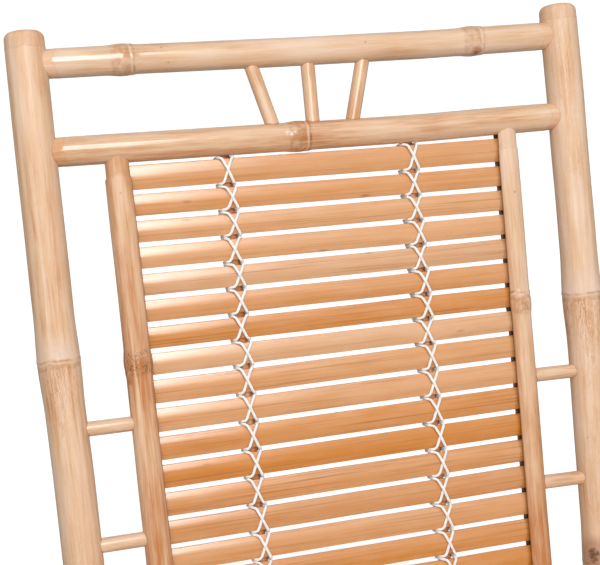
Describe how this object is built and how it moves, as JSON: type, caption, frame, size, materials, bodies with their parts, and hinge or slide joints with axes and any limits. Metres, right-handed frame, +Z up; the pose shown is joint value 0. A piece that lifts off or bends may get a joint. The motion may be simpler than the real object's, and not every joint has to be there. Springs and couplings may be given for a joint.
{
  "type": "rocking chair",
  "caption": "High-backed bamboo armchair on curved rockers, with a slatted seat and reclined slatted back laced to battens with white cord.",
  "frame": {"origin": "on the floor, under the middle of the chair's box, where the rockers touch the floor at rest", "axes": "+Z up, -Y the way a sitter faces, +X to the right of someone looking at the chair's front"},
  "size_m": [0.5802, 0.9456, 1.0955],
  "materials": {
    "bamboo_pole": "clear satin lacquer over pale bamboo poles",
    "bamboo_slat": "clear glossy lacquer over honey-coloured split bamboo",
    "cotton_cord": "matt white twisted cord"
  },
  "bodies": {
    "root": {"left_rocker": "bamboo_pole", "right_rocker": "bamboo_pole", "left_back_post": "bamboo_pole", "right_back_post": "bamboo_pole", "top_rail": "bamboo_pole", "crest_rail": "bamboo_pole", "rear_seat_rail": "bamboo_pole", "left_fan_strut": "bamboo_pole", "middle_fan_strut": "bamboo_pole", "right_fan_strut": "bamboo_pole", "left_back_pole": "bamboo_pole", "right_back_pole": "bamboo_pole", "left_upper_spindle": "bamboo_pole", "left_lower_spindle": "bamboo_pole", "right_upper_spindle": "bamboo_pole", "right_lower_spindle": "bamboo_pole", "left_back_batten": "bamboo_pole", "right_back_batten": "bamboo_pole", "back_slat_01": "bamboo_slat", "back_slat_02": "bamboo_slat", "back_slat_03": "bamboo_slat", "back_slat_04": "bamboo_slat", "back_slat_05": "bamboo_slat", "back_slat_06": "bamboo_slat", "back_slat_07": "bamboo_slat", "back_slat_08": "bamboo_slat", "back_slat_09": "bamboo_slat", "back_slat_10": "bamboo_slat", "back_slat_11": "bamboo_slat", "back_slat_12": "bamboo_slat", "back_slat_13": "bamboo_slat", "back_slat_14": "bamboo_slat", "back_slat_15": "bamboo_slat", "back_slat_16": "bamboo_slat", "back_slat_17": "bamboo_slat", "back_slat_18": "bamboo_slat", "back_slat_19": "bamboo_slat", "back_slat_20": "bamboo_slat", "back_slat_21": "bamboo_slat", "back_slat_22": "bamboo_slat", "back_slat_23": "bamboo_slat", "back_slat_24": "bamboo_slat", "left_back_lacing": "cotton_cord", "right_back_lacing": "cotton_cord", "left_armrest": "bamboo_pole", "right_armrest": "bamboo_pole", "left_front_leg": "bamboo_pole", "right_front_leg": "bamboo_pole", "left_arm_strut": "bamboo_pole", "right_arm_strut": "bamboo_pole", "front_stretcher": "bamboo_pole", "rear_stretcher": "bamboo_pole", "front_seat_rail": "bamboo_pole", "left_seat_rail": "bamboo_pole", "right_seat_rail": "bamboo_pole", "seat_slat_mat": "bamboo_slat", "left_seat_lacing": "cotton_cord", "right_seat_lacing": "cotton_cord"}
  },
  "joints": []
}
